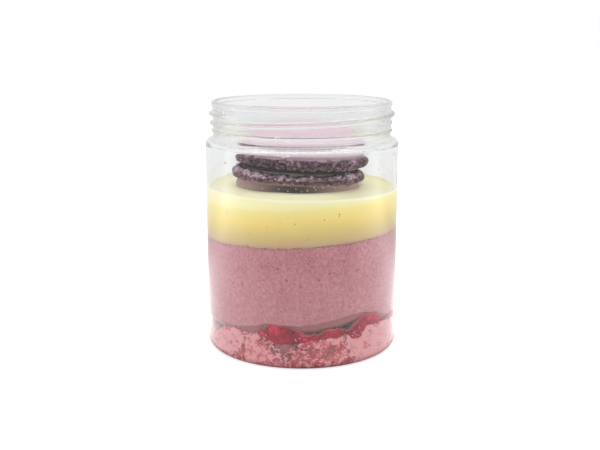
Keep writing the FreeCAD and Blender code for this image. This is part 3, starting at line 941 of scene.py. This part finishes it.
# compote
compote = {
    "columns": 960,
    "wallEdge": (
        # azimuth, lowest and highest at the wall; equal where it keeps back from it
        (-170, 9, 9), (-158, 8.6, 12.4), (-140, 8.4, 13.2), (-128, 9, 9), (-112, 9.4, 9.4), (-102, 9, 12.6),
        (-90, 9.6, 12), (-84, 9, 9), (-29, 12.6, 12.6), (-26, 12.0, 13.4), (-23, 11.2, 13.6),
        (-20, 10.2, 15.7), (-16, 8.9, 16.2), (-12, 8.7, 15.9), (-8, 9.4, 15.2), (-5, 9.5, 14.6),
        (-1, 9.3, 13.9), (2.2, 9.9, 12.6), (3.6, 10.1, 11.9), (6.5, 10.7, 13.0), (8.6, 11.0, 12.2),
        (10.5, 11.0, 12.8), (13, 11.2, 14.1), (17, 11.3, 14.3), (21, 11.0, 14.1), (26, 12.0, 13.5),
        (27.8, 12.4, 12.9), (29.2, 10.0, 13.3), (32, 8.6, 14.6), (35, 8.6, 15.9), (36.5, 9.8, 16.9),
        (39, 12.4, 17.6), (42, 13.5, 17.9), (46, 13.0, 17.4), (51, 13.4, 16.6), (55, 12.9, 14.9),
        (58, 13.1, 14.6), (62, 12.6, 15.0), (68, 12.2, 15.6), (76, 11.0, 14.6), (84, 10.4, 11.6),
        (90, 9, 9), (102, 9, 12), (118, 9.4, 13.2), (130, 9, 9), (145, 8, 12.6), (160, 7.6, 13.4),
    ),
    "lowWaves": ((0.3, 1.6, 61), (0.3, 0.7, 62)),
    "highWaves": ((0.22, 1.6, 63), (0.15, 0.7, 64)),
    "topWaves": ((0.6, 3, 67), (0.35, 1.4, 68)),
    "dents": ((0.16, 1.8, 65, 0.15), (0.1, 0.8, 66, 0.2)),  # depth, length, seed, where they start
    "thickness": 1.6,  # over the middle of the sponge
    "keptBack": 3.2,  # how far it stands back where it doesn't reach the wall
    "edgeRound": 0.9,
    "crumbs": (
        # bits of sponge caught in it at the wall: azimuth, height, radius
        (31.5, 12.1, 0.45), (33, 11.2, 0.35), (35.5, 13.4, 0.3), (33.5, 9.8, 0.25), (-3.5, 10.9, 0.3),
        (-1.5, 11.6, 0.22), (37, 11.4, 0.35), (34.6, 10.7, 0.25), (30.6, 10.9, 0.22), (66, 13.6, 0.3),
        (-21, 12.2, 0.3), (-24, 12.5, 0.3),
    ),
    "wallCrumbs": (
        # crumbs left on the clear wall above the custard: azimuth, height, radius
        (-49.2, 70.4, 0.3), (-46.9, 66.9, 0.22), (68.9, 72.0, 0.34), (49.5, 68.1, 0.2), (64.7, 82.0, 0.2),
        (-58, 64.5, 0.2), (57, 65.4, 0.18), (-33, 63.2, 0.16), (38, 70.6, 0.14),
    ),
    "hiddenWallCrumbs": (9, (80, 280), (63, 73)),  # number, azimuths and heights
}
compoteLow, compoteHigh = (
    closedCurve([(row[0], row[i]) for row in compote["wallEdge"]], 1.2) for i in (1, 2)
)


def cookedCompote():
    # berry compote, cooked down: wet and red, mottled darker and lighter, with a painted highlight along its
    # top edge at the wall
    material, tree, where = newMaterial("cookedBerryCompote")
    edge = addNode(tree, "Attribute", {"attribute_name": "edge"})
    pulp = addNode(tree, "TexNoise", {"Scale": 1 / (1.6 * mm), "Detail": 4, "Roughness": 0.65},
                   {"Vector": where})
    patch = addNode(tree, "TexNoise", {"Scale": 1 / (7 * mm), "Detail": 1}, {"Vector": where})
    mixed = addNode(tree, "Math", {"operation": "MULTIPLY_ADD", 1: 0.9, 2: -0.45}, {0: patch})
    place = addNode(tree, "Math", {"operation": "ADD"}, {0: pulp, 1: mixed})
    tint = addNode(tree, "ValToRGB", {"stops": [
        (0.25, "#70121F"), (0.45, "#8E1A2C"), (0.62, "#B4243E"), (0.8, "#D03C5C"),
    ]}, {"Fac": place})
    # the edge mark mixes in a pale pink painted highlight along its top edge
    body = addNode(tree, "Mix", {"data_type": "RGBA", 7: colour("#CC7480")},
                   {0: edge.outputs["Fac"], 6: tint})
    return grained(material, body.outputs[2], pulp, 0.5, 0.3,
                   {"Roughness": 0.35, "IOR": 1.42, "Specular IOR Level": 0.3})


def looseSponge():
    # single crumbs of the sponge: pale pink, matt and ragged
    stops = [(0.35, "#C4747E"), (0.65, "#D9989E")]
    return mottled("looseSpongeCrumb", 0.8, stops, {"Roughness": 0.7, "IOR": 1.4})


def driedCrumb():
    # crumbs rubbed off the macaron: small, dry and brown
    stops = [(0.4, "#5A4444"), (0.6, "#8A7070")]
    return mottled("dryMacaronCrumb", 2, stops, {"Roughness": 0.7, "IOR": 1.4})


def makeCompote():
    c = compote
    azimuth = allRound(c["columns"])
    edgePlace = around(azimuth, innerRadius, 0.0)
    low, high = compoteLow(azimuth), compoteHigh(azimuth)
    thick = smoothStep(0.15, 0.9, high - low)
    low = low + ripples(edgePlace, *c["lowWaves"]) * thick
    high = high + ripples(edgePlace, *c["highWaves"]) * thick
    reach = contactRadius - c["keptBack"] * (1 - thick)
    half = np.maximum((high - low) / 2, 0.15)
    middle = (high + low) / 2
    across = np.linspace(-1, 1, 26)[:, None]
    bend = np.sign(across) * (1 - (1 - np.abs(across)) ** 1.6)
    height = middle + half * bend
    place = around(azimuth, innerRadius, height)
    fromEdge = half * (1 - np.abs(bend))
    backAtEdge = c["edgeRound"] * (1 - smoothStep(0, 0.35, fromEdge)) ** 2
    dents = sum(deep * np.maximum(0, softNoise(place, length, seed) - level)
                for deep, length, seed, level in c["dents"])
    rim = around(azimuth, reach - backAtEdge - dents * thick, height)
    inward = np.array([1.6, 2.4, 3.4, 4.6, 6, 8, 11, 15, 20, 26, 32])[:, None]
    # it lies on the sponge, and rises to its highest at the wall
    baseTop = spongeTop(azimuth)
    baseTop = baseTop + (sponge["middleTop"] - 1.0 - baseTop) * smoothStep(1, 9, inward)
    place = around(azimuth, innerRadius - inward, 0.0)
    flat = baseTop + c["thickness"] + ripples(place, *c["topWaves"])
    raised = (np.maximum(high - 0.2, baseTop + 0.6) - flat) * (1 - smoothStep(1.5, 6, inward)) * thick
    lid = around(azimuth, innerRadius - inward, flat + raised)
    under = around(azimuth, innerRadius - inward[::-1], (baseTop - 0.8)[::-1])
    # a painted highlight along the top edge where it meets the wall
    paintedTopEdgeLight = (1 - smoothStep(0.05, 0.3, fromEdge)) * (bend > 0) * thick
    marks = {"edge": [0, 0.55 * paintedTopEdgeLight, 0]}
    ringPiece("berryCompote", "berry_compote", cookedCompote(), [under, rim, lid], marks)


def makeCompoteCrumbs():
    spots = [(around(a, contactRadius - 0.05, z), radius, 0.6) for a, z, radius in compote["crumbs"]]
    rng = np.random.default_rng(69)
    for a, z, radius in compote["crumbs"]:
        for i in range(2):
            place = around(a + rng.normal(0, 1.2), contactRadius, z + rng.normal(0, 0.6))
            spots.append((place, radius * rng.uniform(0.25, 0.6), 0.6))
    scatter("spongeCrumbs", looseSponge(), spots, lumpy=0.45, seed=70)


def makeWallCrumbs():
    rng = np.random.default_rng(71)
    spots = [(around(a, innerRadius - 0.05, z), radius, 0.7) for a, z, radius in compote["wallCrumbs"]]
    count, azimuths, heights = compote["hiddenWallCrumbs"]
    for i in range(count):
        place = around(rng.uniform(*azimuths), innerRadius - 0.05, rng.uniform(*heights))
        spots.append((place, rng.uniform(0.12, 0.3), 0.7))
    scatter("wallCrumbs", driedCrumb(), spots, lumpy=0.3, seed=72)


makeCompote()
makeCompoteCrumbs()
makeWallCrumbs()
print("compote made")


def bakedShell(name, crustStops, speckling):
    # almond macaron, piped and baked: a matt speckled crust, and a rough foot with painted shade in its pits
    # and holes and painted highlights on its bumps and frills
    material, tree, where = newMaterial(name)
    relief, foot, rise = (addNode(tree, "Attribute", {"attribute_name": mark}).outputs["Fac"]
                          for mark in ("relief", "foot", "rise"))
    grain = addNode(tree, "TexNoise", {"Scale": 1 / (0.75 * mm), "Detail": 3, "Roughness": 0.65},
                    {"Vector": where})
    crust = addNode(tree, "ValToRGB", {"stops": crustStops}, {"Fac": rise})
    speck = addNode(tree, "MapRange", {"From Min": 0.45, "From Max": 0.7, "To Max": speckling},
                    {"Value": grain})
    speckled = addNode(tree, "Mix", {"data_type": "RGBA", 7: colour("#9C7F8C")}, {0: speck, 6: crust})
    level = addNode(tree, "Math", {"operation": "MULTIPLY_ADD", 1: 0.35},
                    {0: grain, 2: relief})
    rough = addNode(tree, "ValToRGB", {"stops": [
        (0.16, "#16060F"), (0.36, "#42222F"), (0.56, "#704C5B"), (0.78, "#A07D8B"), (1.0, "#C8AEB8"),
    ]}, {"Fac": level})
    body = addNode(tree, "Mix", {"data_type": "RGBA"},
                   {0: foot, 6: speckled.outputs[2], 7: rough})
    return grained(material, body.outputs[2], grain, 0.4, 0.15, {"Roughness": 0.6, "IOR": 1.45})


def leaned(points, lie, flipped):
    # lays a shell, made face down on the origin, in its place
    front = Euler((-math.radians(lie["front"]), 0, 0)).to_matrix()
    turn = front @ Euler((0, math.radians(lie["right"]), 0)).to_matrix()
    if flipped:
        turn = turn @ Euler((math.pi, 0, 0)).to_matrix()
    return points @ np.array(turn).T + np.array(lie["centre"])


def makeShell(name, node, lie, flipped, seed, material):
    m = macaron
    foot, side, footTop = m["footRadius"], m["radius"], lie["foot"]
    path = outline([
        # radius, height, bend, step, from the middle of its face out and over to its top
        (1.0, 0.45, 0, 2.0),
        (foot - 4.4, 0.4, 0, 0.25),
        (foot - 1.5, 0.1, 1.2, 0.16),
        (foot + 0.1, 1.5, 1.1, 0.16),
        (foot + 0.1, footTop - 1.0, 0.9, 0.16),
        (foot - 1.0, footTop - 0.1, 0.4, 0.16),
        (side - 0.5, footTop + 0.1, 0.15, 0.3),
        (side, 6.6, 2.0, 0.5),
        (side - 0.2, m["sideTop"] - 0.6, 2.5, 0.5),
        (side * 0.80, m["height"] - 2.2, 4.0, 1.0),
        (side * 0.45, m["height"] - 0.25, 12.0, 1.5),
        (1.0, m["height"], 0, 1.0),
    ])
    azimuth = allRound(m["columns"])
    radius, height = path[:, :1], path[:, 1:]
    along = np.gradient(path, axis=0)
    along = along / np.linalg.norm(along, axis=1, keepdims=True)
    normalOut, normalUp = along[:, 1:], -along[:, :1]
    edgeWave = 0.35 * softNoise(around(azimuth, radius, 0.0) + (0, 0, seed), 2.2, seed + 9)
    onFoot = smoothStep(foot - 3.8, foot - 3.0, radius)
    onFoot = onFoot * (1 - smoothStep(footTop - 0.3, footTop + 0.15, height + edgeWave))
    place = around(azimuth, radius, height) + (0, 0, 40 * seed)
    warped = place + 0.3 * np.stack([softNoise(place, 0.8, seed + 30 + i) for i in range(3)], -1)
    frill = 0.35 * softNoise(place * (1, 1, 0.4), 3.5, seed) + 0.4 * softNoise(warped, 1.2, seed + 1)
    (coarse, coarseDepth), (fine, fineDepth) = m["pits"]
    away, pick = cellNoise(warped * (1, 1, 1.3), coarse, seed + 2)
    pits = smoothStep(0.45, 0.6, pick) * (1 - smoothStep(0.18, 0.6, away))
    away, pick = cellNoise(warped, fine, seed + 20)
    finePits = smoothStep(0.35, 0.6, pick) * (1 - smoothStep(0.15, 0.55, away))
    bumps = 0.26 * softNoise(place, 0.5, seed + 5)
    turned = 180 - azimuth if flipped else azimuth
    hole = 0
    for holeAzimuth, holeHeight, size in lie["holes"]:
        across = turnedFrom(turned, holeAzimuth) * math.radians(foot)
        hole = hole + np.exp(-((across / size) ** 2 + ((height - holeHeight) / size) ** 2) ** 2)
    push = onFoot * (frill - coarseDepth * pits - fineDepth * finePits + bumps - hole)
    push = push + (1 - onFoot) * 0.1 * softNoise(place, 4, seed + 6)
    most, partAzimuth, partWidth = lie["parted"]
    part = most * np.exp(-((turnedFrom(turned, partAzimuth) / partWidth) ** 2))
    part = part * smoothStep(foot - 5.5, foot - 0.5, radius)
    part = part * (1 - smoothStep(0.3, footTop - 0.3, height))
    rings = around(azimuth, radius + push * normalOut, height + push * normalUp + part)
    # painted shade darkens the face towards the gap between the shells, a painted highlight lightens the
    # lower shell's rim, and painted shade darkens its side, most at the front
    nearFace = 1 - smoothStep(1.0, 2.4, height)
    # the foot's colour follows its relief: painted highlights on frills and bumps, painted shade in pits and
    # holes
    relief = 0.37 + 0.5 * frill + 0.8 * bumps - 0.85 * pits - 0.5 * finePits - 0.9 * hole
    relief = relief - 0.8 * (1 - smoothStep(foot - 2.9, foot - 1.9, radius)) * nearFace
    # rise colours the crust by height with painted light and shade, and on the lower shell also by nearness
    # to the front
    rise = np.clip((height - footTop) / (m["height"] - footTop), 0, 1)
    if flipped:
        relief = relief + 0.3 * smoothStep(foot - 2.4, foot - 1.2, radius) * nearFace
        front = np.exp(-(turnedFrom(turned, -4) / 38) ** 2)
        rise = smoothStep(footTop - 0.5, footTop + 0.8, height) * (0.1 + 0.9 * front)
    marks = {"relief": [relief], "foot": [onFoot], "rise": [rise]}
    ringPiece(name, node, material, [leaned(rings, lie, flipped)], marks)


def makeSugar():
    centre = np.array(macaron["lower"]["centre"]) * (1, 1, 0)
    rng = np.random.default_rng(95)
    spots = [(around(turn, macaron["radius"] + 0.15, height) + centre, radius, 0.6)
             for turn, height, radius in macaron["sugar"]]
    count, azimuths, heights = macaron["hiddenSugar"]
    for i in range(count):
        place = around(rng.uniform(*azimuths), macaron["radius"] + 0.1, rng.uniform(*heights))
        spots.append((place + centre, 0.12, 0.6))
    scatter("sugarGrains", sugarAndGlintWhite(), spots, lumpy=0.3, seed=96)


def macaronJam():
    # berry jam between the shells: almost black and a little wet, its darkness partly painted shade of the
    # gap
    stops = [(0.35, "#0E070B"), (0.7, "#1C0D15")]
    return mottled("darkBerryJamAndShade", 1.5, stops, {"Roughness": 0.5, "IOR": 1.42, "Specular IOR Level": 0.15})


def makeJam():
    low, high = (np.array(macaron[key]["centre"]) for key in ("lower", "upper"))
    lie = {"centre": (low + high) / 2, **macaron["filling"]}
    edge, half = lie["radius"], lie["half"]
    path = outline([(1, -half, 0, 3), (edge, -half, 0.5, 0.2), (edge, half, 0.5, 3), (1, half, 0, 1)])
    azimuth = allRound(180)
    wave = ripples(around(azimuth, edge, 0.0), lie["waves"])
    rings = around(azimuth, path[:, :1] + wave * smoothStep(5, edge, path[:, :1]), path[:, 1:])
    ringPiece("macaronJam", "macaron_filling", macaronJam(), [leaned(rings, lie, False)])


# the lower crust is painted dark with shade above its foot, most at the front; the upper crust is painted
# darker just above its foot and lighter on its side than on its dome, painted shade and light
lowerCrust = bakedShell("bakedShellPaintedShade", [(0, "#B89A96"), (1, "#351A10")], 0.15)
upperCrust = bakedShell("bakedShellPale", [
    (0, "#AC919C"), (0.07, "#C2A8B3"), (0.14, "#F2E0E8"), (0.5, "#E8D4DD"), (0.72, "#D8C0CB"),
    (1, "#D4BDC8"),
], 0.4)
makeShell("macaronLower", "macaron_bottom_shell", macaron["lower"], True, 80, lowerCrust)
makeShell("macaronUpper", "macaron_top_shell", macaron["upper"], False, 90, upperCrust)
makeJam()
makeSugar()
print("macaron made")

bpy.context.scene.view_settings.view_transform = "Standard"
